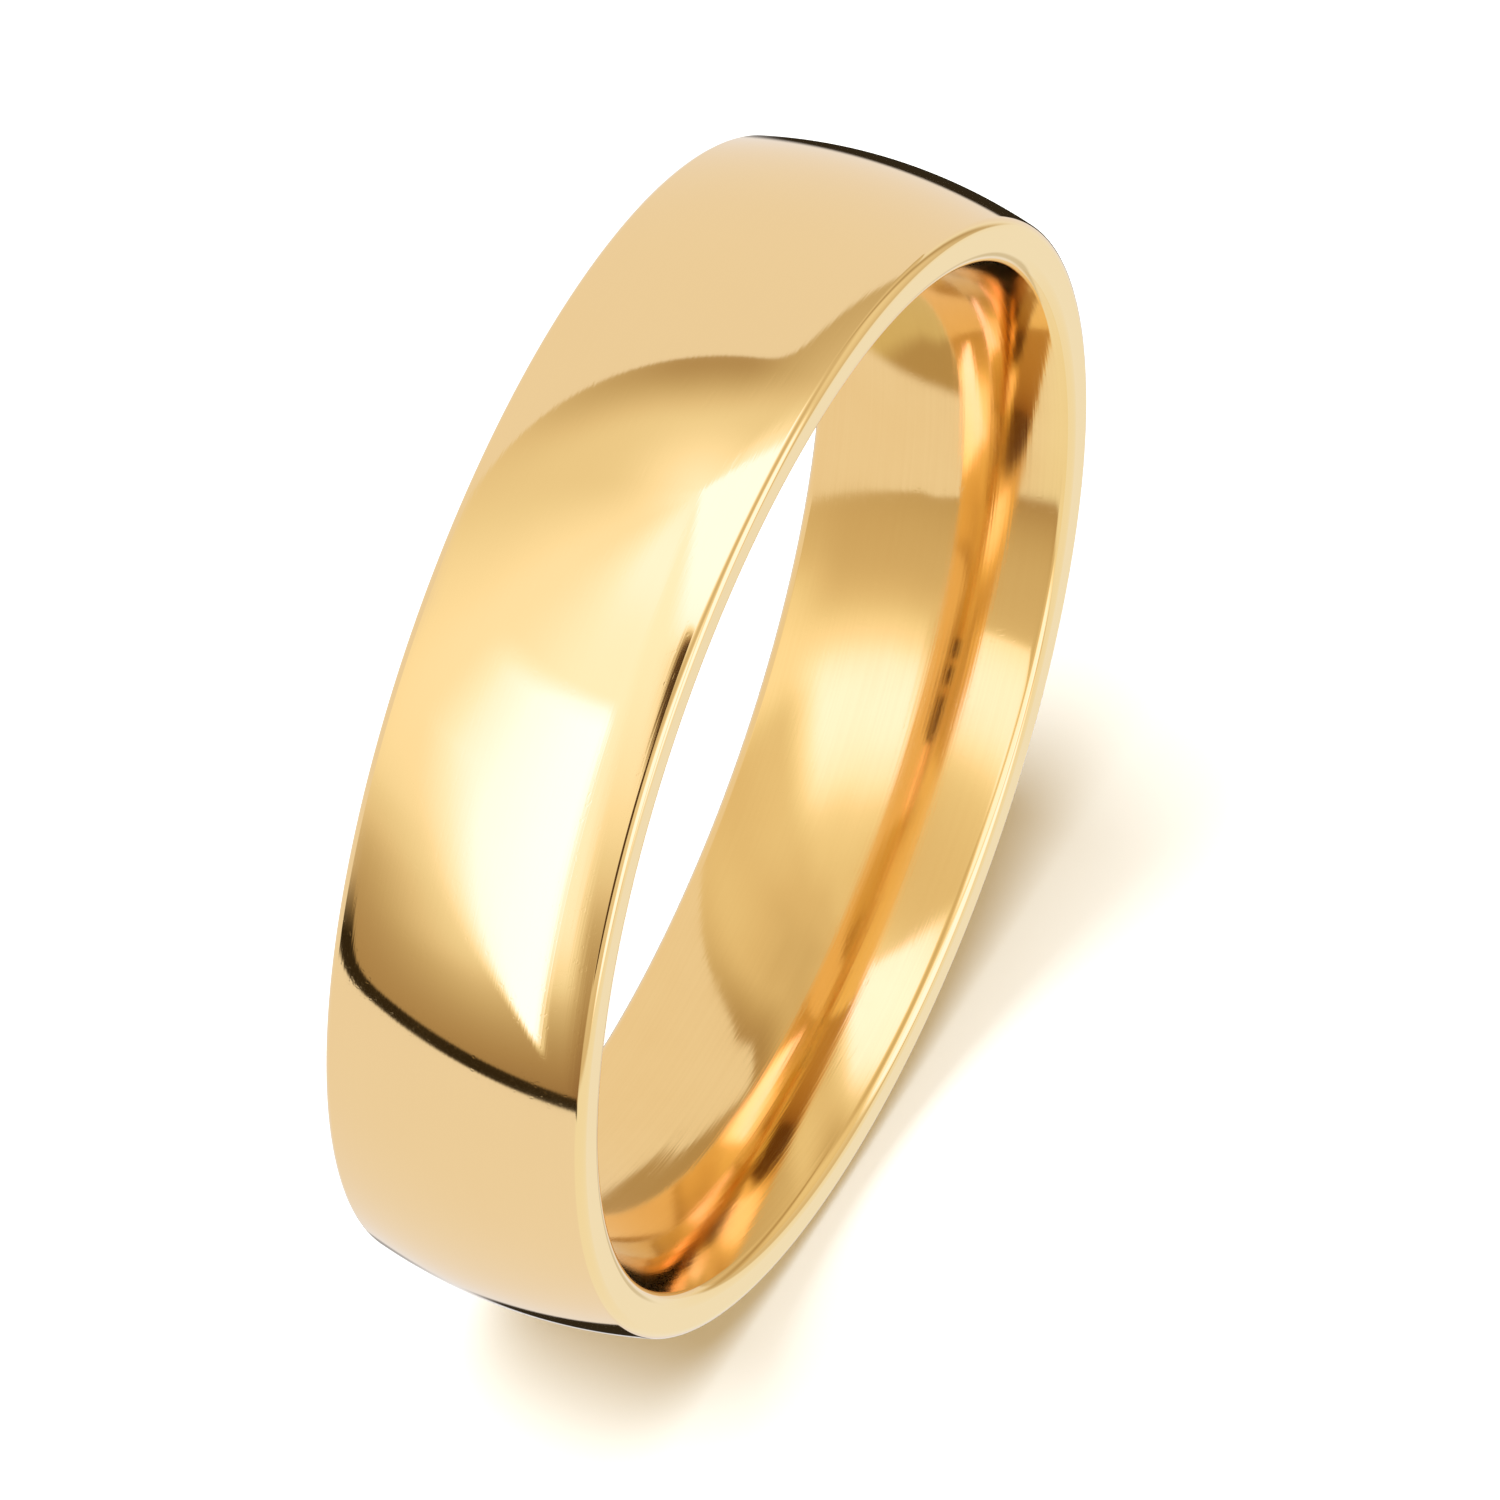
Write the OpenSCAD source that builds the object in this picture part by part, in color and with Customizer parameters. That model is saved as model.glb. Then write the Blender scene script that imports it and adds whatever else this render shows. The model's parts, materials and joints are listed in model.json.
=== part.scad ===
// Court profile wedding band: one solid ring of metal, domed outside and inside.
// The ring's axis runs along Y and the origin is at the centre of the finger hole.

/* [Ring] */
// Diameter of the finger hole at its narrowest, which is the ring size
finger_d = 18.3; // [14:0.1:23]
// Width of the band along the finger
band_w = 5; // [3:0.5:8]
// Thickness of the metal at the middle of the band
wall_t = 1.5; // [1.2:0.05:2.4]

/* [Court profile] */
// How far the outer dome stands above its own edges
outer_rise = 0.335; // [0.1:0.005:0.45]
// How far the inner dome stands above its own edges
inner_rise = 0.42; // [0.1:0.005:0.5]
// Width of the straight land that the finger touches, at the top of the inner dome
land_w = 0.3; // [0.1:0.05:0.6]
// Radius that eases the outer edge of each rim
outer_edge_r = 0.2; // [0.05:0.05:0.3]
// Radius that eases the inner edge of each rim
inner_edge_r = 0.3; // [0.05:0.05:0.4]

/* [Punch marks] */
// Number of short blank punches in the row
punch_count = 4; // [1:1:5]
// Length of a short punch, around the finger hole
punch_l = 1.1; // [0.7:0.05:1.5]
// Length of the long blank punch after the row
long_punch_l = 2.6; // [1.5:0.1:4]
// Width of every punch, across the band
punch_w = 0.9; // [0.5:0.05:1.3]
// Metal left between the short punches
punch_gap = 0.35; // [0.2:0.05:0.8]
// Metal left between the row and the long punch
long_punch_gap = 0.55; // [0.2:0.05:1.5]
// Radius of the punches' corners
punch_corner_r = 0.15; // [0.05:0.05:0.3]
// Depth of the punches below the inner dome
punch_depth = 0.06; // [0.02:0.01:0.15]
// Place of the row's middle, as an angle round the hole from the top
punch_angle = -99; // [-170:1:170]

/* [Hidden] */
$fn = 128;
// Shares of the rim's thickness that its two eased edges may take
outer_edge_share = 0.35;
inner_edge_share = 0.5;
// How far cutting shapes reach past what they cut
past = 1;

half_w = band_w/2;
inner_r = finger_d/2;
outer_r = inner_r + wall_t;
rim_t = wall_t - outer_rise - inner_rise;
outer_edge = min(outer_edge_r, outer_edge_share*rim_t);
inner_edge = min(inner_edge_r, inner_edge_share*rim_t);

// A dome of a given rise over a given half width is an arc of this radius
function dome_r(half, rise) = (half*half + rise*rise)/(2*rise);

inner_half = half_w - land_w/2;
outer_dome_r = dome_r(half_w, outer_rise);
inner_dome_r = dome_r(inner_half, inner_rise);
outer_dome_x = outer_r - outer_dome_r;
inner_dome_x = inner_r + inner_dome_r;

// Centres of the eased edges, tangent to the rim's face and to the dome
outer_edge_x = outer_dome_x
    + sqrt(pow(outer_dome_r - outer_edge, 2) - pow(half_w - outer_edge, 2));
inner_edge_x = inner_dome_x
    - sqrt(pow(inner_dome_r - inner_edge, 2) - pow(inner_half - inner_edge, 2));

// Angles that the punches take round the hole
punch_pitch = (punch_l + punch_gap)/inner_r*180/PI;
long_punch_turn = ((punch_l + long_punch_l)/2 + long_punch_gap)/inner_r*180/PI;
row_start = punch_angle - (punch_count - 1)/2*punch_pitch;
row_end = punch_angle + (punch_count - 1)/2*punch_pitch;

// Everything on the metal's side of the inner dome, sunk by a depth
module inner_side(depth = 0) {
    r = inner_dome_r - depth;
    translate([inner_dome_x - r, -land_w/2]) square([2*r, land_w]);
    for (s = [-1, 1]) translate([inner_dome_x, s*land_w/2]) circle(r);
}

// The sharp corner outside a round of radius r at [x, half_w - r].
// The dome's centre is at [dome_x, dome_y], and way is 1 outwards or -1 inwards.
module corner_waste(x, r, dome_x, dome_y, way) {
    centre = [x, half_w - r];
    run = (centre - [dome_x, dome_y])/norm(centre - [dome_x, dome_y]);
    difference() {
        polygon([centre, centre + r*run, centre + 4*r*run, [x + way*2*r, half_w + 2*r], [x, half_w + 2*r]]);
        translate(centre) circle(r);
    }
}

module court_section() {
    difference() {
        intersection() {
            translate([outer_dome_x, 0]) circle(outer_dome_r);
            inner_side();
            translate([inner_r - past, -half_w]) square([wall_t + 2*past, band_w]);
        }
        for (s = [0, 1]) mirror([0, s]) {
            corner_waste(outer_edge_x, outer_edge, outer_dome_x, 0, 1);
            corner_waste(inner_edge_x, inner_edge, inner_dome_x, land_w/2, -1);
        }
    }
}

// A blank punch of length l, sunk to an even depth in the inner dome
module punch(angle, l) {
    flat_l = l - 2*punch_corner_r;
    flat_w = punch_w - 2*punch_corner_r;
    difference() {
        rotate([0, angle, 0]) translate([0, 0, inner_r - past]) linear_extrude(past + wall_t/2) {
            square([flat_l, punch_w], center = true);
            square([l, flat_w], center = true);
            for (x = [-1, 1], y = [-1, 1]) translate([x*flat_l/2, y*flat_w/2]) circle(punch_corner_r);
        }
        rotate([90, 0, 0]) rotate_extrude() intersection() {
            inner_side(punch_depth);
            translate([inner_r - past, -half_w]) square([wall_t + 2*past, band_w]);
        }
    }
}

module band() {
    color([0.93, 0.79, 0.55]) difference() {
        rotate([90, 0, 0]) rotate_extrude() court_section();
        for (i = [0:punch_count - 1]) punch(row_start + i*punch_pitch, punch_l);
        punch(row_end + long_punch_turn, long_punch_l);
    }
}

band();
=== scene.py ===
import json
import math

import bmesh
import bpy
from mathutils import Matrix, Vector


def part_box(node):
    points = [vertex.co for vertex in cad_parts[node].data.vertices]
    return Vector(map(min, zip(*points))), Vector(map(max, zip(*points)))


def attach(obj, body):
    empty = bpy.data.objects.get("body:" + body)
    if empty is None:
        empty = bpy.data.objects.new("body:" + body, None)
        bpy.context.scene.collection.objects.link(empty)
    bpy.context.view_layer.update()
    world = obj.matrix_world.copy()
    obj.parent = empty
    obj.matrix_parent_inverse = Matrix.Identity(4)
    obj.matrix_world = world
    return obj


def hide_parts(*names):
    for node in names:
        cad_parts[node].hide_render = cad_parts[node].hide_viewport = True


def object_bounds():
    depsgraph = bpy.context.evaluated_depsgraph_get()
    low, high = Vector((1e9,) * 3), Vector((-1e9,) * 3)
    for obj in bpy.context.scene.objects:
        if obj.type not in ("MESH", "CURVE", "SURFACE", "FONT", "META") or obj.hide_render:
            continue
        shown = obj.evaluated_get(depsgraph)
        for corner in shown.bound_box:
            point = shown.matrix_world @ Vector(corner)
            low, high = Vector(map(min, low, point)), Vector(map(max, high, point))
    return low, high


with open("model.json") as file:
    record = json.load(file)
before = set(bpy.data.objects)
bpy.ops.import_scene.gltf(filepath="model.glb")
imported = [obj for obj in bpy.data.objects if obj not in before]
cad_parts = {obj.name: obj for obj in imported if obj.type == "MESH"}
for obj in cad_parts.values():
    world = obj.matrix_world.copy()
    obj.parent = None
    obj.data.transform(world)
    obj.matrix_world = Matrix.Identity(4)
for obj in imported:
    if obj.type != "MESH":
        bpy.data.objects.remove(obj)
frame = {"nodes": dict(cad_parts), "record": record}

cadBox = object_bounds()
mm = 0.001
print("frame loaded:", ", ".join(sorted(frame["nodes"])))


class Term:
    # a number inside a node tree, so that a formula reads as a formula
    def __init__(self, tree, socket):
        self.tree = tree
        self.socket = socket

    def make(self, operation, *others):
        node = self.tree.nodes.new("ShaderNodeMath")
        node.operation = operation
        for place, value in zip(node.inputs, (self,) + others):
            plug(self.tree, value, place)
        return Term(self.tree, node.outputs[0])

    def __add__(self, other):
        return self.make("ADD", other)

    def __sub__(self, other):
        return self.make("SUBTRACT", other)

    def __mul__(self, other):
        return self.make("MULTIPLY", other)

    def __truediv__(self, other):
        return self.make("DIVIDE", other)

    def __pow__(self, other):
        return self.make("POWER", other)

    def sine(self):
        return self.make("SINE")

    def cosine(self):
        return self.make("COSINE")

    def size(self):
        # the value without its sign
        return self.make("ABSOLUTE")

    def atLeast(self, other):
        return self.make("MAXIMUM", other)

    def atMost(self, other):
        return self.make("MINIMUM", other)

    def flipped(self):
        # one minus the value
        return number(self.tree, 1.0) - self

    def rise(self, start, end):
        # 0 at start, 1 at end, and a smooth S between them
        node = self.tree.nodes.new("ShaderNodeMapRange")
        node.interpolation_type = "SMOOTHSTEP"
        plug(self.tree, self, node.inputs["Value"])
        plug(self.tree, start, node.inputs["From Min"])
        plug(self.tree, end, node.inputs["From Max"])
        return Term(self.tree, node.outputs["Result"])

    def between(self, low, high):
        # low where the value is 0, high where it is 1
        low = low if isinstance(low, Term) else number(self.tree, low)
        return low + self * ((high - low) if isinstance(high, Term) else (low * -1.0 + high))

    def change(self, start, end, before, after):
        # before until the value reaches start, after from end on
        return self.rise(start, end).between(before, after)

    def strip(self, start, full, fading, end):
        # 1 between full and fading, and 0 before start and after end
        return self.rise(start, full) * self.rise(end, fading)


def plug(tree, value, place):
    if isinstance(value, Term):
        tree.links.new(value.socket, place)
    elif isinstance(value, bpy.types.NodeSocket):
        tree.links.new(value, place)
    else:
        place.default_value = value


def number(tree, value):
    node = tree.nodes.new("ShaderNodeMath")
    node.operation = "ADD"
    node.inputs[0].default_value = value
    node.inputs[1].default_value = 0.0
    return Term(tree, node.outputs[0])


def joined(tree, x, y, z):
    node = tree.nodes.new("ShaderNodeCombineXYZ")
    for place, value in zip(node.inputs, (x, y, z)):
        plug(tree, value, place)
    return node.outputs[0]


def split(tree, vector):
    node = tree.nodes.new("ShaderNodeSeparateXYZ")
    tree.links.new(vector, node.inputs[0])
    return [Term(tree, s) for s in node.outputs]


def addSockets(tree, inputs, outputs):
    for kind, names in (("INPUT", inputs), ("OUTPUT", outputs)):
        for name, socketType in names.items():
            tree.interface.new_socket(name=name, in_out=kind, socket_type="NodeSocket" + socketType)


# the band: a court section carried round the finger's axis, with sizes in mm.
# Entries with a capital are inputs of the sweep's node tree

bandShape = {
    "Outer Rise": 0.335,       # crown of the outside over the whole width
    "Inner Rise": 0.42,        # the comfort curve inside
    "Land Width": 0.3,         # straight part in the middle of the inside
    "Outer Edge": 0.2,         # radius of the eased edge outside
    "Inner Edge": 0.3,         # and inside
    "Mark Zone": 0.62,         # half width of the finely divided strip inside
    "Crowding": 0.78,          # 0 spaces the cells evenly, near 1 crowds them at the marks
    "Steps": 840,              # cells round the ring
}

# cells across each stretch of the section
bandCells = {"outside": 26, "edge": 7, "rim": 2, "side": 14, "mark": 11, "land": 6}

punchMarks = {
    "count": 4,
    "Length": 1.1,
    "Long Length": 2.6,
    "Width": 0.9,
    "gap": 0.35,
    "longGap": 0.55,
    "Corner": 0.15,
    "Depth": 0.06,
    "rowAngle": math.radians(-99),
    "Slope": 0.04,             # how far a punched wall leans over its depth
    "wallBand": 3.0,           # slopes from the outline within which normals follow the mesh
    "boreBand": 0.2,           # only points this close to the bore's narrowest radius are pressed
    "floorFrom": 0.9,          # share of the depth from which the dark finish begins: dirt with painted shade
}


def bandSizes():
    # the sizes that the frame decides
    low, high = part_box("band")
    bore = next(m for m in frame["record"]["mounts"] if m["name"] == "finger_bore")
    return {
        "Outer Radius": (high.x - low.x) / 2 / mm,
        "Bore Radius": bore["dims"]["r_mm"],
        "Half Width": (high.y - low.y) / 2 / mm,
    }


def punchPlaces(boreRadius):
    # angle of each punch's middle, and the name of its length
    marks = punchMarks
    pitch = (marks["Length"] + marks["gap"]) / boreRadius
    row = [marks["rowAngle"] + (i - (marks["count"] - 1) / 2) * pitch for i in range(marks["count"])]
    longStep = ((marks["Length"] + marks["Long Length"]) / 2 + marks["longGap"]) / boreRadius
    return [(angle, "Length") for angle in row] + [(row[-1] + longStep, "Long Length")]


def arcOf(middle, radius, start, end):
    # a stretch of the section: facing turns from start to end about a middle (across, radial)
    def place(tree, share):
        facing = share.between(start, end)
        return (facing.sine() * radius + middle[0], facing.cosine() * radius + middle[1], facing)
    return place


def lineOf(first, last, facing):
    def place(tree, share):
        spots = [share.between(a, b) for a, b in zip(first, last)]
        return (spots[0], spots[1], number(tree, facing))
    return place


def courtSection(tree, size):
    # stretches in order round the section, from the outside's +Y end, each with its cells
    half = size["Half Width"]
    land = size["Land Width"] * 0.5
    domeHeight = size["Outer Rise"]
    innerRise = size["Inner Rise"]
    easeOut = size["Outer Edge"]
    easeIn = size["Inner Edge"]
    innerHalf = half - land
    dome = (half * half + domeHeight * domeHeight) / (domeHeight * 2.0)
    innerDome = (innerHalf * innerHalf + innerRise * innerRise) / (innerRise * 2.0)
    domeMiddle = size["Outer Radius"] - dome
    innerMiddle = size["Bore Radius"] + innerDome
    easeOutAcross = half - easeOut
    easeInAcross = half - easeIn
    outSine = easeOutAcross / (dome - easeOut)
    inSine = (easeInAcross - land) / (innerDome - easeIn)
    outTurn = outSine.make("ARCSINE")
    inTurn = inSine.make("ARCSINE") * -1.0 + math.pi
    easeOutRadial = domeMiddle + (dome - easeOut) * outTurn.cosine()
    easeInRadial = innerMiddle + (innerDome - easeIn) * inTurn.cosine()
    markTurn = ((size["Mark Zone"] - land) / innerDome).make("ARCSINE") * -1.0 + math.pi
    flat = number(tree, math.pi / 2)
    straight = number(tree, math.pi)
    zero = number(tree, 0.0)
    cells = bandCells

    def oneSide(side):
        # side is -1 or +1 along Y, given from the outside inwards
        eased = arcOf((easeOutAcross * side, easeOutRadial), easeOut, outTurn * side, flat * side)
        rim = lineOf((half * side, easeOutRadial), (half * side, easeInRadial), side * math.pi / 2)
        inner = arcOf((easeInAcross * side, easeInRadial), easeIn, flat * side, inTurn * side)
        wall = arcOf((land * side, innerMiddle), innerDome, inTurn * side, markTurn * side)
        marked = arcOf((land * side, innerMiddle), innerDome, markTurn * side, straight * side)
        names = ("edge", "rim", "edge", "side", "mark")
        return list(zip((eased, rim, inner, wall, marked), [cells[name] for name in names]))

    outside = arcOf((zero, domeMiddle), dome, outTurn, outTurn * -1.0)
    landLine = lineOf((land * -1.0, size["Bore Radius"]), (land, size["Bore Radius"]), math.pi)
    back = [(backwards(place), count) for place, count in reversed(oneSide(1.0))]
    return [(outside, cells["outside"])] + oneSide(-1.0) + [(landLine, cells["land"])] + back


def backwards(place):
    return lambda tree, share: place(tree, share.flipped())


def bandTree():
    tree = bpy.data.node_groups.new("courtBandSweep", "GeometryNodeTree")
    sizes = list(bandSizes()) + [n for n in bandShape if n != "Steps"]
    sizes += [n for n in punchMarks if n[0].isupper()]
    sockets = {name: "Float" for name in sizes}
    sockets["Steps"] = "Int"
    for name in ("Outside Gold", "Inside Gold", "Punched Gold"):
        sockets[name] = "Material"
    addSockets(tree, sockets, {"Geometry": "Geometry"})
    entry = tree.nodes.new("NodeGroupInput")
    size = {name: Term(tree, entry.outputs[name]) for name in sizes}

    def add(kind, **plugs):
        node = tree.nodes.new("GeometryNode" + kind)
        for name, value in plugs.items():
            plug(tree, value, node.inputs[name.replace("_", " ")])
        return node

    def store(geometry, name, value):
        node = add("StoreNamedAttribute", Geometry=geometry, Name=name)
        plug(tree, value, node.inputs["Value"])
        return node.outputs[0]

    def stored(name):
        return Term(tree, add("InputNamedAttribute", Name=name).outputs[0])

    # the section's points, in order round it
    everyPoint = tree.nodes.new("GeometryNodeJoinGeometry")
    for stretch, (place, count) in enumerate(courtSection(tree, size)):
        index = Term(tree, tree.nodes.new("GeometryNodeInputIndex").outputs[0])
        share = index / count
        across, radial, facing = place(tree, share)
        points = add("Points", Count=count).outputs[0]
        points = store(points, "across", across)
        points = store(points, "radial", radial)
        points = store(points, "facing", facing)
        points = store(points, "order", share + stretch)
        moved = add("SetPosition", Geometry=points, Position=joined(tree, radial, across, 0.0))
        tree.links.new(moved.outputs[0], everyPoint.inputs[0])
    section = add("PointsToCurves", Points=everyPoint.outputs[0], Weight=stored("order"))
    section = add("SetSplineCyclic", Geometry=section.outputs[0], Cyclic=True).outputs[0]

    # the path round the finger, its steps closer together at the punch marks
    path = tree.nodes.new("GeometryNodeCurvePrimitiveCircle")
    tree.links.new(entry.outputs["Steps"], path.inputs["Resolution"])
    index = Term(tree, tree.nodes.new("GeometryNodeInputIndex").outputs[0])
    turn = index / Term(tree, entry.outputs["Steps"]) * (2 * math.pi)
    angle = turn - turn.sine() * size["Crowding"] + punchMarks["rowAngle"]
    path = store(path.outputs[0], "around", angle)
    swept = add("CurveToMesh", Curve=path, Profile_Curve=section).outputs[0]

    # the punches, as rounded rectangles pressed into the inside
    around, across, radial, facing = [stored(n) for n in ("around", "across", "radial", "facing")]
    deepest = None
    for middle, length in punchPlaces(bandSizes()["Bore Radius"]):
        along = (around - middle) * size["Bore Radius"]
        reach = roundedBox(along, across, size[length], size["Width"], size["Corner"])
        deepest = reach if deepest is None else deepest.atMost(reach)
    inside = radial.make("LESS_THAN", size["Bore Radius"] + punchMarks["boreBand"])
    pressed = (deepest + size["Slope"]).rise(size["Slope"], 0.0) * inside
    nearMark = deepest.size().make("LESS_THAN", size["Slope"] * punchMarks["wallBand"]) * inside
    radius = radial + pressed * size["Depth"]
    spot = joined(tree, around.sine() * radius * mm, across * mm, around.cosine() * radius * mm)
    shaped = add("SetPosition", Geometry=swept, Position=spot).outputs[0]
    shaped = add("SetShadeSmooth", Geometry=shaped).outputs[0]

    # exact normals, except on the punched walls
    outward = facing.cosine()
    exact = joined(tree, around.sine() * outward, facing.sine(), around.cosine() * outward)
    choose = add("Switch")
    choose.input_type = "VECTOR"
    tree.links.new(nearMark.socket, choose.inputs["Switch"])
    tree.links.new(exact, choose.inputs["False"])
    tree.links.new(tree.nodes.new("GeometryNodeInputNormal").outputs[0], choose.inputs["True"])
    normals = tree.nodes.new("GeometryNodeSetMeshNormal")
    normals.mode = "FREE"
    normals.domain = "POINT"
    tree.links.new(shaped, normals.inputs["Mesh"])
    tree.links.new(choose.outputs[0], normals.inputs["Custom Normal"])

    real = add("RealizeInstances", Geometry=normals.outputs[0]).outputs[0]
    inward = radial.make("LESS_THAN", size["Bore Radius"] + size["Inner Rise"])
    # the punch floors take the dark finish: dirt with painted shade
    floor = pressed.make("GREATER_THAN", punchMarks["floorFrom"])
    for name, where in (("Outside Gold", True), ("Inside Gold", inward), ("Punched Gold", floor)):
        gold = entry.outputs[name]
        real = add("SetMaterial", Geometry=real, Selection=where, Material=gold).outputs[0]
    exitNode = tree.nodes.new("NodeGroupOutput")
    tree.links.new(real, exitNode.inputs[0])
    return tree


def roundedBox(x, y, length, width, corner):
    # distance to a rounded rectangle's outline, negative inside it
    pastX = x.size() - length * 0.5 + corner
    pastY = y.size() - width * 0.5 + corner
    outX = pastX.atLeast(0.0)
    outY = pastY.atLeast(0.0)
    outer = (outX * outX + outY * outY).make("SQRT")
    inner = pastX.atLeast(pastY).atMost(0.0)
    return outer + inner - corner


def makeBand(outsideGold, insideGold, punchDirtAndShadeGold):
    tree = bandTree()
    blank = bpy.data.meshes.new("band_blank")
    carrier = bpy.data.objects.new("band_carrier", blank)
    bpy.context.scene.collection.objects.link(carrier)
    sweep = carrier.modifiers.new("sweep", "NODES")
    sweep.node_group = tree
    values = {**bandSizes(), **bandShape, **punchMarks}
    values.update({"Outside Gold": outsideGold, "Inside Gold": insideGold, "Punched Gold": punchDirtAndShadeGold})
    for item in tree.interface.items_tree:
        if item.in_out == "INPUT":
            sweep[item.identifier] = values[item.name]
    graph = bpy.context.evaluated_depsgraph_get()
    mesh = bpy.data.meshes.new_from_object(carrier.evaluated_get(graph), depsgraph=graph)
    mesh.name = "court_band"
    carrier.modifiers.clear()
    bpy.data.objects.remove(carrier)
    piece = bpy.data.objects.new("court_band", mesh)
    bpy.context.scene.collection.objects.link(piece)
    print("band:", len(mesh.polygons), "faces,", len(mesh.materials), "materials")
    return piece


# gold: one alloy, polished to three grades, a little duller in the bore. The bore's warmer, deeper colour
# is a painted reflection tone, and the punch floors are painted dark brown for dirt and painted shade

goldFinish = {                 # spread is how far the roughness varies, tone how far the colour deepens
    "outside": {
        "colour": (1.0, 0.715, 0.345), "tone": 0.01,
        "roughness": 0.03, "spread": 0.02,
        "lines": 0.04, "scratches": 0.05,
    },
    "inside": {
        # the bore's warmer, deeper colour is a painted reflection tone: the same alloy as outside, tinted
        # for the warm light the bore mirrors
        "colour": (1.0, 0.685, 0.29), "tone": 0.05,
        "roughness": 0.05, "spread": 0.06,
        "lines": 0.07, "scratches": 0.06,
    },
    "punched": {
        # dark brown in place of gold: dirt in the punch floors, with painted shade where the recesses
        # fall dark
        "colour": (0.16, 0.055, 0.014), "tone": 0.1,
        "roughness": 0.6, "spread": 0.1,
        "lines": 0.1, "scratches": 0.1,
    },
}

polish = {                     # what the three finishes share, with scales per metre
    "linesAlong": 250.0,
    "linesAcross": 26000.0,
    "linesDetail": 3.0,
    "linesSpan": (0.3, 0.7),       # the part of the noise's range that becomes lines
    "scratchScale": 260.0,
    "scratchTurns": ((0.4, 0.2, 0.9), (1.3, 0.9, 0.1), (2.2, 0.5, 1.7)),
    "scratchStretch": (1.0, 28.0, 28.0),
    "scratchDetail": 1.0,
    "scratchSpan": (0.68, 0.74),
    "driftScale": 420.0,
    "driftDetail": 4.0,
    "driftSpan": (0.25, 0.75),
    "deepening": (0.6, 1.2, 2.0),  # how much each of red, green and blue gives up to tone
    "driftInTone": 0.7,
    "linesInTone": 0.3,
    "scratchesInRough": 0.25,
    "linesInRough": 0.4,
    "bumpDepth": 0.002,            # in mm
}


def polishLines():
    # fine lines that the buff leaves round the ring, seamless because they follow the solid
    tree = bpy.data.node_groups.new("polishLines", "ShaderNodeTree")
    addSockets(tree, {"Vector": "Vector", "Along": "Float", "Across": "Float"}, {"Lines": "Float"})
    entry = tree.nodes.new("NodeGroupInput")
    x, y, z = split(tree, entry.outputs["Vector"])
    along = Term(tree, entry.outputs["Along"])
    across = Term(tree, entry.outputs["Across"])
    noise = tree.nodes.new("ShaderNodeTexNoise")
    noise.inputs["Scale"].default_value = 1.0
    noise.inputs["Detail"].default_value = polish["linesDetail"]
    tree.links.new(joined(tree, x * along, y * across, z * along), noise.inputs["Vector"])
    lines = Term(tree, noise.outputs["Fac"]).rise(*polish["linesSpan"])
    tree.links.new(lines.socket, tree.nodes.new("NodeGroupOutput").inputs["Lines"])
    return tree


def handlingScratches():
    # short hairlines in all directions, from wear on the hand
    tree = bpy.data.node_groups.new("handlingScratches", "ShaderNodeTree")
    addSockets(tree, {"Vector": "Vector", "Scale": "Float", "Amount": "Float"}, {"Scratches": "Float"})
    entry = tree.nodes.new("NodeGroupInput")
    total = None
    for turn in polish["scratchTurns"]:
        mapping = tree.nodes.new("ShaderNodeMapping")
        mapping.inputs["Rotation"].default_value = turn
        mapping.inputs["Scale"].default_value = polish["scratchStretch"]
        tree.links.new(entry.outputs["Vector"], mapping.inputs["Vector"])
        noise = tree.nodes.new("ShaderNodeTexNoise")
        noise.inputs["Detail"].default_value = polish["scratchDetail"]
        tree.links.new(mapping.outputs[0], noise.inputs["Vector"])
        tree.links.new(entry.outputs["Scale"], noise.inputs["Scale"])
        line = Term(tree, noise.outputs["Fac"]).rise(*polish["scratchSpan"])
        total = line if total is None else total.atLeast(line)
    scratches = total * Term(tree, entry.outputs["Amount"])
    tree.links.new(scratches.socket, tree.nodes.new("NodeGroupOutput").inputs["Scratches"])
    return tree


def toneDrift():
    # slow change of colour and polish over the surface
    tree = bpy.data.node_groups.new("toneDrift", "ShaderNodeTree")
    addSockets(tree, {"Vector": "Vector", "Scale": "Float"}, {"Drift": "Float"})
    entry = tree.nodes.new("NodeGroupInput")
    noise = tree.nodes.new("ShaderNodeTexNoise")
    noise.inputs["Detail"].default_value = polish["driftDetail"]
    tree.links.new(entry.outputs["Vector"], noise.inputs["Vector"])
    tree.links.new(entry.outputs["Scale"], noise.inputs["Scale"])
    drift = Term(tree, noise.outputs["Fac"]).rise(*polish["driftSpan"])
    tree.links.new(drift.socket, tree.nodes.new("NodeGroupOutput").inputs["Drift"])
    return tree


polishGroups = {"lines": polishLines(), "scratches": handlingScratches(), "drift": toneDrift()}


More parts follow.
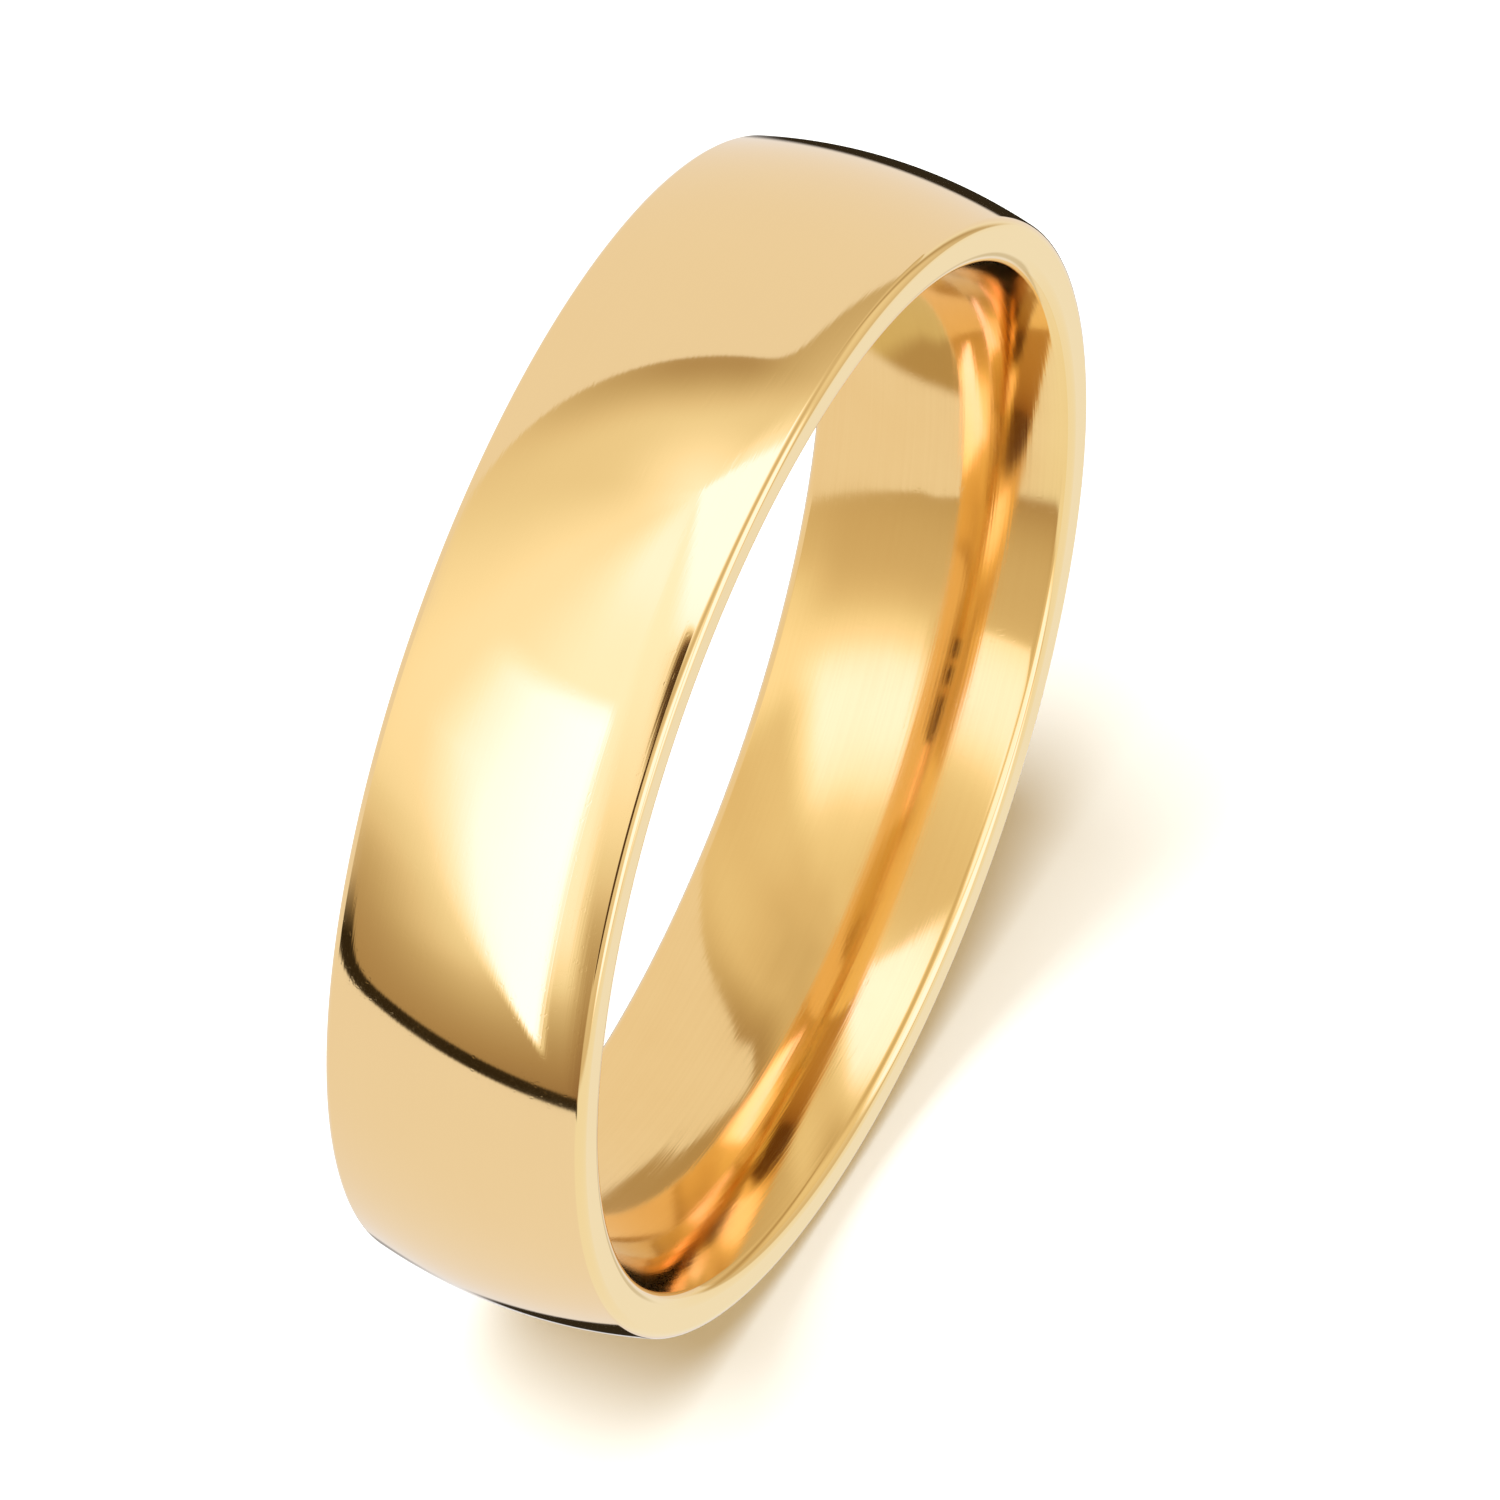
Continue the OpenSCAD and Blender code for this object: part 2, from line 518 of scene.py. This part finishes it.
def makeGold(name, finish):
    material = bpy.data.materials.new(name)
    material.use_nodes = True
    tree = material.node_tree
    tree.nodes.clear()
    shader = tree.nodes.new("ShaderNodeBsdfPrincipled")
    output = tree.nodes.new("ShaderNodeOutputMaterial")
    tree.links.new(shader.outputs[0], output.inputs["Surface"])
    shader.inputs["Metallic"].default_value = 1.0
    place = tree.nodes.new("ShaderNodeTexCoord").outputs["Object"]

    def use(key, **values):
        node = tree.nodes.new("ShaderNodeGroup")
        node.node_tree = polishGroups[key]
        tree.links.new(place, node.inputs["Vector"])
        for socket, value in values.items():
            node.inputs[socket].default_value = value
        return Term(tree, node.outputs[0])

    lines = use("lines", Along=polish["linesAlong"], Across=polish["linesAcross"])
    scratches = use("scratches", Scale=polish["scratchScale"], Amount=1.0)
    drift = use("drift", Scale=polish["driftScale"])

    colour = tree.nodes.new("ShaderNodeMix")
    colour.data_type = "RGBA"
    colour.inputs["A"].default_value = (*finish["colour"], 1.0)
    deeper = [c * (1 - finish["tone"] * k) for c, k in zip(finish["colour"], polish["deepening"])]
    colour.inputs["B"].default_value = (*deeper, 1.0)
    deepening = drift * polish["driftInTone"] + lines * polish["linesInTone"]
    tree.links.new(deepening.socket, colour.inputs["Factor"])
    tree.links.new(colour.outputs["Result"], shader.inputs["Base Color"])

    rough = drift * finish["spread"] + finish["roughness"]
    rough = rough + scratches * (finish["scratches"] * polish["scratchesInRough"])
    rough = rough + lines * (finish["spread"] * polish["linesInRough"])
    tree.links.new(rough.socket, shader.inputs["Roughness"])

    bump = tree.nodes.new("ShaderNodeBump")
    bump.inputs["Distance"].default_value = polish["bumpDepth"] * mm
    bump.inputs["Strength"].default_value = 1.0
    height = lines * finish["lines"] - scratches * finish["scratches"]
    tree.links.new(height.socket, bump.inputs["Height"])
    tree.links.new(bump.outputs[0], shader.inputs["Normal"])
    return material


golds = {key: makeGold(key + "_gold", finish) for key, finish in goldFinish.items()}
print("gold: three finishes")

band = makeBand(golds["outside"], golds["inside"], golds["punched"])
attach(band, "root")
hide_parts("band")


# the camera, its distance and offsets in mm

viewpoint = {
    "azimuth": math.radians(-64.374),
    "elevation": math.radians(45.687),
    "distance": 473.385,
    "right": 0.686,
    "up": -0.221,
    "lens": 646.8,
    "sensor": 36.0,
    "clip": (0.01, 20.0),      # in metres
}


def makeCamera():
    turn = viewpoint["azimuth"]
    tilt = viewpoint["elevation"]
    back = Vector((math.sin(turn) * math.cos(tilt), -math.cos(turn) * math.cos(tilt), math.sin(tilt)))
    right = Vector((math.cos(turn), math.sin(turn), 0))
    up = back.cross(right)
    place = back * viewpoint["distance"] + right * viewpoint["right"] + up * viewpoint["up"]
    data = bpy.data.cameras.new("camera")
    data.lens = viewpoint["lens"]
    data.sensor_width = viewpoint["sensor"]
    data.clip_start, data.clip_end = viewpoint["clip"]
    camera = bpy.data.objects.new("camera", data)
    bpy.context.scene.collection.objects.link(camera)
    turnMatrix = Matrix((right, up, back)).transposed().to_4x4()
    camera.matrix_world = Matrix.Translation(place * mm) @ turnMatrix
    bpy.context.scene.camera = camera


makeCamera()
print("camera placed")


# floor and key light

floorLook = {"size": 3.0, "colour": (0.92, 0.92, 0.92)}      # size in metres
keyLight = {
    "towards": (-0.36, 0.13, 0.92),
    "strength": 5.2,
    "spread": math.radians(50),
    "colour": (0.82, 0.92, 0.98),
}


def makeFloor(height):
    half = floorLook["size"] / 2
    mesh = bpy.data.meshes.new("floor")
    corners = [(-half, -half), (half, -half), (half, half), (-half, half)]
    mesh.from_pydata([(x, y, height) for x, y in corners], [], [(0, 1, 2, 3)])
    floor = bpy.data.objects.new("floor", mesh)
    bpy.context.scene.collection.objects.link(floor)
    paper = bpy.data.materials.new("floor_paper")
    paper.use_nodes = True
    shader = paper.node_tree.nodes["Principled BSDF"]
    shader.inputs["Base Color"].default_value = (*floorLook["colour"], 1.0)
    shader.inputs["Roughness"].default_value = 1.0
    shader.inputs["Specular IOR Level"].default_value = 0.0
    mesh.materials.append(paper)
    floor.visible_glossy = False


def makeKeyLight():
    data = bpy.data.lights.new("key", "SUN")
    data.energy = keyLight["strength"]
    data.angle = keyLight["spread"]
    data.color = keyLight["colour"]
    lamp = bpy.data.objects.new("key", data)
    lamp.rotation_euler = Vector(keyLight["towards"]).to_track_quat("Z", "Y").to_euler()
    lamp.visible_glossy = False
    bpy.context.scene.collection.objects.link(lamp)


makeFloor(cadBox[0].z)
makeKeyLight()
print("floor and key light placed")


# the light tent: what the polished gold mirrors, drawn by azimuth and elevation in degrees.
# Spans are (start, end), four numbers of change() are (start, end, before, after), four of strip() are
# (start, full, fading, end), and a pair of places is (as the bore mirrors it, as the outer face does)

tent = {
    "radius": 100 * mm,
    "segments": (96, 48),
    "outsideReach": (1.012, 1.0),          # ray lengths in radii: longer ones come from across the bore
    "curveCeiling": 1.5,                   # no brightness by elevation is above this
}

card = {                                   # the pale card under and beside the ring
    "top": ((48.0, 58.0, 0.0105), (62.0, 61.3, 0.0028)),     # azimuth and height of its top, and its bend
    "left": (-26.0, -49.0),
    "leftBend": (-20.0, 0.0058),           # elevation where the left edge begins to lean, and its bend
    "right": (70.0, 90.5),
    "lowest": (-16.0, 16.0),               # where the right edge ends
    "starts": ((-36.0, -22.0), (-70.0, -40.0)),
    "leftSoftness": (-22.0, 6.0, 0.5, 5.0),
    "topSoftness": (-30.0, 0.0, 4.0, 0.35),
    "leftRounding": 8.0,
    "topRounding": 12.0,
}

tableEdge = {
    "elevation": -28.4,
    "azimuth": -92.0,
    "slope": 0.19,
    "gapMiddle": 1.4,                      # the dark gap beyond it
    "gapSide": (1.9, 1.2),
    "gapEnd": (-1.0, -14.0),
}

wallLevel = {                              # brightness by elevation, at stations round the tent
    "shoulder": (
        (-35, 0.12), (-20, 0.21), (-5, 0.36), (5, 0.45),
        (20, 0.82), (35, 1.05), (60, 1.18), (90, 1.25),
    ),
    "west": (
        (-35, 0.15), (-20, 0.32), (-10, 0.56), (0, 1.0), (10, 1.17),
        (40, 1.2), (60, 1.22), (75, 1.3), (90, 1.25),
    ),
    "middle": (
        (-30, 0.28), (-10, 0.34), (0, 0.46), (10, 0.78), (20, 1.0), (60, 1.05), (75, 1.03), (90, 1.25),
    ),
    "east": ((55, 0.8), (70, 0.82), (75, 0.86), (82, 1.02), (90, 1.2)),
    "behind": (
        (-30, 0.85), (-22, 0.62), (0, 0.72), (25, 0.8), (42, 0.6), (56, 0.85), (68, 1.4), (90, 1.45),
    ),
    "rightWing": ((-30, 0.6), (-10, 0.42), (25, 0.38), (45, 0.5), (60, 0.8), (75, 1.1), (90, 1.2)),
    "withinWest": (
        (-30, 0.4), (-15, 0.54), (-3, 0.62), (10, 1.03), (25, 1.4), (40, 1.28), (55, 0.9), (90, 0.7),
    ),
    "withinMiddle": (
        (-30, 0.5), (-10, 0.65), (0, 0.91), (12, 1.03), (26, 0.76), (45, 0.79), (70, 0.68), (90, 0.7),
    ),
    "withinRight": (
        (-30, 0.3), (-15, 0.53), (3.5, 0.64), (7, 1.18), (20, 1.34), (42, 0.82), (62, 0.72), (90, 1.1),
    ),
    "twice": ((-32, 0.42), (5, 0.35), (20, 0.25), (32, 0.1), (58, 0.08), (68, 0.95), (90, 1.3)),
    "withinDim": ((-30, 1.0), (50, 0.96), (65, 0.84), (78, 0.68), (90, 0.8)),     # a share, in the bore
}

wallJoins = {                              # how one station gives way to the next round the tent
    "overCard": (                          # by azimuth, just above the card's top
        (-30, 0.86), (0, 0.73), (20, 0.56), (40, 0.44), (60, 0.36), (75, 0.36), (92, 0.52), (110, 0.8),
    ),
    "overCardHeight": (1.0, 15.0),
    "middle": (-82.0, -48.0),
    "shoulder": (-93.5, -98.0),
    "withinMiddle": (-50.0, -32.0),
    "withinRight": (-86.0, -92.0),
    "withinDip": (-75.0, -79.0),
    "withinDipHeight": (0.0, 10.0),
    "withinDipLevel": 0.72,
    "withinFall": (-30.0, -10.0, 1.0, 0.92),
    "east": (-48.0, -8.0),
    "withinEast": (-20.0, 0.0),
}

softbox = {                                # its tip points down
    "tip": (-89.5, -17.0),
    "leftEdge": -90.3,
    "leftLean": -0.04,
    "rightLean": 0.72,
    "rightLimit": -57.0,
    "leftSoftness": 1.6,
    "rightSoftness": (-14.0, 14.0, 1.2, 10.0),
    "top": (50.0, 43.0),
    "level": (-90.0, -62.0, 1.8, 1.36),
    "twiceTurn": 24.0,                     # it stands this much further round for light mirrored twice
    "twiceGain": 0.75,
}

farSide = {                                # beyond the ring's right side, and behind the viewer
    "rightWing": (92.0, 97.0, 112.0, 122.0),
    "leftWing": (-143.0, -133.0, -95.0, -80.0),
    "behind": (101.0, 113.0),
    "window": (164.0, 2.0, 14.0, 24.0),    # azimuth, elevation, half width, half height, as in each patch
    "windowSoftness": (1.3, 0.8),
    "windowLevel": 1.35,
    "foot": (-27.0, -21.0),
    "leftFoot": (-31.0, -28.0),
    "seenTwice": (-138.0, -128.0, -98.0, -92.0),
}

darkPlaces = {
    "openings": ((75.0, -31.5, 9.8, 11.5), (57.5, -67.5, 9.8, 8.8), (47.0, -46.0, 9.0, 13.0)),
    "openingDepths": (1.0, 1.0, 0.55),
    "openingSoftness": (1.15, 0.9),
    "slit": (-113.2, 30.0, 9.3, 33.0),
    "slitSoftness": (1.08, 0.94),
    "slitLevel": 0.05,
    "lens": (-117.0, 44.0, 16.0, 17.0),
    "lensSoftness": (1.08, 0.9),
    "lensLevel": 0.07,
}

lowerTent = {                              # the card and the table as they lie under the ring
    "tableFrom": (92.0, 108.0),
    "shadeHeight": (-52.0, -56.0),
    "shadeAround": (100.0, 80.0),
    "shadeTurn": (-44.0, -30.0),
    "shadowAround": (100.0, 108.0, 115.0, 120.5),
    "shadowHeight": (-40.5, -46.5),
    "shadowDepth": 0.8,
}

tentColours = {
    "card": (0.845, 0.85, 0.90),
    "table": (0.885, 0.94, 0.96),
    "shadeLeft": (0.46, 0.36, 0.20),
    "shadeRight": (0.66, 0.6, 0.38),
    "shadow": (0.62, 0.6, 0.5),
    "dark": (0.03, 0.022, 0.012),
    "floorFill": (0.55, 0.40, 0.21),
    "backdrop": (1.0, 1.0, 1.0),
    "thrice": (0.85, 1.15, 1.9),           # many mirrorings in the bore pull less towards orange
    "byLevel": (
        (0.0, (0.0, 0.0, 0.0)), (0.1, (0.17, 0.10, 0.05)), (0.2, (0.30, 0.20, 0.11)),
        (0.32, (0.42, 0.32, 0.19)), (0.5, (0.58, 0.50, 0.35)), (0.7, (0.76, 0.70, 0.56)),
        (0.85, (0.87, 0.85, 0.73)), (1.0, (1.0, 1.0, 0.93)), (1.2, (1.2, 1.2, 1.4)),
        (1.45, (1.45, 1.45, 2.3)), (1.85, (1.85, 1.85, 2.8)), (2.6, (2.0, 1.85, 5.4)),
    ),
}


class MirroredRay:
    # where a ray from the gold looks, in degrees, and how it came there
    def __init__(self, tree, toward, ways):
        x, y, z = split(tree, toward)
        degree = 180 / math.pi
        self.tree = tree
        self.az = x.make("ARCTAN2", y) * degree
        self.el = z.make("ARCSINE") * degree
        self.turned = self.az.size()
        reach = Term(tree, ways.outputs["Ray Length"]) / tent["radius"]
        self.outside = reach.rise(*tent["outsideReach"])
        self.inside = self.outside.flipped()
        bounces = Term(tree, ways.outputs["Glossy Depth"])      # a whole number
        self.twice = bounces.make("GREATER_THAN", 1.5)
        self.thrice = bounces.make("GREATER_THAN", 2.5)


def followed(value, points):
    # a smooth curve through (value, result) points
    tree = value.tree
    low, high = points[0][0], points[-1][0]
    most = tent["curveCeiling"]
    node = tree.nodes.new("ShaderNodeFloatCurve")
    spots = node.mapping.curves[0].points
    while len(spots) < len(points):
        spots.new(0.5, 0.5)
    for spot, (x, y) in zip(spots, points):
        spot.location = ((x - low) / (high - low), y / most)
        spot.handle_type = "AUTO_CLAMPED"
    node.mapping.update()
    plug(tree, ((value - low) / (high - low)).atLeast(0.0).atMost(1.0), node.inputs["Value"])
    return Term(tree, node.outputs[0]) * most


def patch(az, el, shape, power=4.0):
    # distance from the middle of a patch, 1 at its edge: power 2 is an ellipse, 4 is nearer a rectangle
    middleAz, middleEl, wide, tall = shape
    across = ((az - middleAz) / wide).size()
    upward = ((el - middleEl) / tall).size()
    return (across ** power + upward ** power) ** (1.0 / power)


def blended(tree, factor, first, second):
    node = tree.nodes.new("ShaderNodeMix")
    node.data_type = "RGBA"
    plug(tree, factor, node.inputs["Factor"])
    for value, place in ((first, node.inputs["A"]), (second, node.inputs["B"])):
        plug(tree, (*value, 1.0) if isinstance(value, tuple) else value, place)
    return node.outputs["Result"]


def besideCard(ray):
    # how far above the card, and how far into the corner of its left edge and the table's edge
    tops = []
    for peak, height, bend in card["top"]:
        fromPeak = ray.az - peak
        tops.append(number(ray.tree, height) - fromPeak * fromPeak * bend)
    aboveCard = ray.el - ray.outside.between(*tops)
    leanFrom, lean = card["leftBend"]
    fromLow = (ray.el - leanFrom).atLeast(0.0)
    leftEdge = fromLow * fromLow * lean + ray.outside.between(*card["left"])
    aboveTable = ray.el - ((ray.az - tableEdge["azimuth"]) * tableEdge["slope"] + tableEdge["elevation"])
    inCorner = aboveTable.make("SMOOTH_MIN", leftEdge - ray.az, card["leftRounding"])
    return aboveCard, inCorner


def wallShows(ray, aboveCard, inCorner):
    # 1 where the tent's wall shows, 0 where the card or the table does
    left = (inCorner / ray.el.change(*card["leftSoftness"])).rise(-1.0, 1.0)
    rightOfCard = ray.az - ray.outside.between(*card["right"])
    aboveLowest = ray.el - ray.outside.between(*card["lowest"])
    outOfCard = aboveCard.make("SMOOTH_MAX", rightOfCard.atMost(aboveLowest), card["topRounding"])
    starts = ray.outside.between(*[ray.az.rise(*span) for span in card["starts"]])
    right = (outOfCard / ray.az.change(*card["topSoftness"])).rise(-1.0, 1.0) * starts
    return left.atLeast(right)


def wallBrightness(ray, aboveCard):
    # as the outer face sees it, and as the bore does
    az, el, outside = ray.az, ray.el, ray.outside
    joins = wallJoins
    station = {name: followed(el, points) for name, points in wallLevel.items()}
    overCard = followed(az, joins["overCard"])
    east = aboveCard.rise(*joins["overCardHeight"]).between(overCard, station["east"])
    level = az.rise(*joins["middle"]).between(station["west"], station["middle"])
    level = az.rise(*joins["shoulder"]).between(level, station["shoulder"])
    within = az.rise(*joins["withinMiddle"]).between(station["withinWest"], station["withinMiddle"])
    dip = az.rise(*joins["withinDip"]) * el.rise(*joins["withinDipHeight"])
    within = within * dip.between(1.0, joins["withinDipLevel"])
    within = az.rise(*joins["withinRight"]).between(within, station["withinRight"])
    within = within * az.change(*joins["withinFall"])
    level = outside.between(within, level)
    fromEast = az.rise(*joins["east"]) * outside.atLeast(az.rise(*joins["withinEast"]))
    level = fromEast.between(level, east * outside.between(station["withinDim"], 1.0))
    return level, station


def withSoftbox(ray, level):
    box = softbox
    around = ray.az - ray.twice * box["twiceTurn"]
    tipAround, tipHeight = box["tip"]
    left = ray.el * box["leftLean"] + box["leftEdge"]
    right = ((ray.el - tipHeight) * box["rightLean"] + tipAround).atMost(box["rightLimit"])
    pastLeft = (around - left).rise(-box["leftSoftness"], box["leftSoftness"])
    beforeRight = ((right - around) / ray.el.change(*box["rightSoftness"])).rise(-1.0, 1.0)
    inBox = pastLeft * beforeRight * ray.el.rise(*box["top"]) * ray.outside.atLeast(ray.twice)
    boxLevel = around.change(*box["level"]) + ray.twice * box["twiceGain"]
    return inBox.between(level, boxLevel.atLeast(level))


def tentColour(tree, toward, ways):
    ray = MirroredRay(tree, toward, ways)
    az, el, turned, outside = ray.az, ray.el, ray.turned, ray.outside
    aboveCard, inCorner = besideCard(ray)
    wall = wallShows(ray, aboveCard, inCorner)
    level, station = wallBrightness(ray, aboveCard)
    level = withSoftbox(ray, level)

    # the parts of the tent behind the ring's right side and behind the viewer
    leftWing = ray.inside * az.strip(*farSide["leftWing"])
    behind = turned.rise(*farSide["behind"]) * leftWing.flipped()
    backLevel = az.strip(*farSide["rightWing"]).between(station["behind"], station["rightWing"])
    window = patch(turned, el, farSide["window"]).rise(*farSide["windowSoftness"])
    level = behind.between(level, window.between(backLevel, farSide["windowLevel"]))
    wall = behind.between(wall, el.rise(*farSide["foot"]))
    wall = leftWing.between(wall, el.rise(*farSide["leftFoot"]))
    seenTwice = ray.twice * az.strip(*farSide["seenTwice"])
    level = seenTwice.between(level, station["twice"])

    # a dark slit, and the lens opening, which only shows after two mirrorings
    slit = patch(az, el, darkPlaces["slit"], 2.0).rise(*darkPlaces["slitSoftness"]) * outside
    lens = patch(az, el, darkPlaces["lens"]).rise(*darkPlaces["lensSoftness"]) * ray.twice
    level = slit.between(level, darkPlaces["slitLevel"])
    level = lens.between(level, darkPlaces["lensLevel"])
    wall = wall.atLeast(lens.atLeast(slit))

    # the card and the table, with the ring's own shade and shadow on them
    lower = blended(tree, turned.rise(*lowerTent["tableFrom"]), tentColours["card"], tentColours["table"])
    shade = el.rise(*lowerTent["shadeHeight"]) * turned.rise(*lowerTent["shadeAround"]) * ray.inside
    shadeSide = az.rise(*lowerTent["shadeTurn"])
    shadeColour = blended(tree, shadeSide, tentColours["shadeLeft"], tentColours["shadeRight"])
    lower = blended(tree, shade, lower, shadeColour)
    shadow = az.strip(*lowerTent["shadowAround"]) * el.rise(*lowerTent["shadowHeight"]) * ray.inside
    lower = blended(tree, shadow * lowerTent["shadowDepth"], lower, tentColours["shadow"])
    seen = blended(tree, wall, lower, levelColour(tree, level))

    # the gap beyond the table, and the openings
    dark = (inCorner - tableEdge["gapMiddle"]).size().rise(*tableEdge["gapSide"])
    dark = dark * el.rise(*tableEdge["gapEnd"]) * outside * behind.flipped()
    seenOnce = outside * ray.twice.flipped()
    for opening, depth in zip(darkPlaces["openings"], darkPlaces["openingDepths"]):
        hole = patch(az, el, opening, 2.0).rise(*darkPlaces["openingSoftness"])
        dark = dark.atLeast(hole * depth * seenOnce)
    seen = blended(tree, dark, seen, tentColours["dark"])

    paler = tree.nodes.new("ShaderNodeVectorMath")
    paler.operation = "MULTIPLY"
    tree.links.new(seen, paler.inputs[0])
    paler.inputs[1].default_value = tentColours["thrice"]
    return blended(tree, ray.thrice, seen, paler.outputs[0])


def levelColour(tree, level):
    # the wall's warm greys by brightness
    ramp = tree.nodes.new("ShaderNodeValToRGB")
    stops = tentColours["byLevel"]
    brightest = stops[-1][0]
    elements = ramp.color_ramp.elements
    for spot, colour in stops[1:-1]:
        elements.new(spot / brightest)
    for element, (spot, colour) in zip(elements, stops):
        element.position = spot / brightest
        element.color = (*colour, 1.0)
    tree.links.new((level / brightest).socket, ramp.inputs["Fac"])
    return ramp.outputs["Color"]


def makeTent():
    # a glowing ball round the ring that only mirrors see
    cloth = bpy.data.materials.new("tent_cloth")
    cloth.use_nodes = True
    cloth.cycles.emission_sampling = "NONE"
    tree = cloth.node_tree
    tree.nodes.clear()
    toward = tree.nodes.new("ShaderNodeVectorMath")
    toward.operation = "NORMALIZE"
    tree.links.new(tree.nodes.new("ShaderNodeTexCoord").outputs["Object"], toward.inputs[0])
    ways = tree.nodes.new("ShaderNodeLightPath")
    glow = tree.nodes.new("ShaderNodeEmission")
    tree.links.new(tentColour(tree, toward.outputs[0], ways), glow.inputs["Color"])
    tree.links.new(glow.outputs[0], tree.nodes.new("ShaderNodeOutputMaterial").inputs["Surface"])
    ball = bmesh.new()
    around, upward = tent["segments"]
    bmesh.ops.create_uvsphere(ball, u_segments=around, v_segments=upward, radius=tent["radius"])
    mesh = bpy.data.meshes.new("tent")
    ball.to_mesh(mesh)
    ball.free()
    mesh.materials.append(cloth)
    shell = bpy.data.objects.new("tent", mesh)
    bpy.context.scene.collection.objects.link(shell)
    for way in ("camera", "diffuse", "transmission", "volume_scatter", "shadow"):
        setattr(shell, "visible_" + way, False)


def makeSurroundings():
    # plain white to the eye, and a warm even fill on the floor
    world = bpy.data.worlds.new("surroundings")
    bpy.context.scene.world = world
    world.use_nodes = True
    tree = world.node_tree
    tree.nodes.clear()
    toEye = Term(tree, tree.nodes.new("ShaderNodeLightPath").outputs["Is Camera Ray"])
    seen = blended(tree, toEye, tentColours["floorFill"], tentColours["backdrop"])
    background = tree.nodes.new("ShaderNodeBackground")
    tree.links.new(seen, background.inputs["Color"])
    tree.links.new(background.outputs[0], tree.nodes.new("ShaderNodeOutputWorld").inputs["Surface"])


makeTent()
makeSurroundings()
bpy.context.scene.view_settings.view_transform = "Standard"
print("light tent placed")
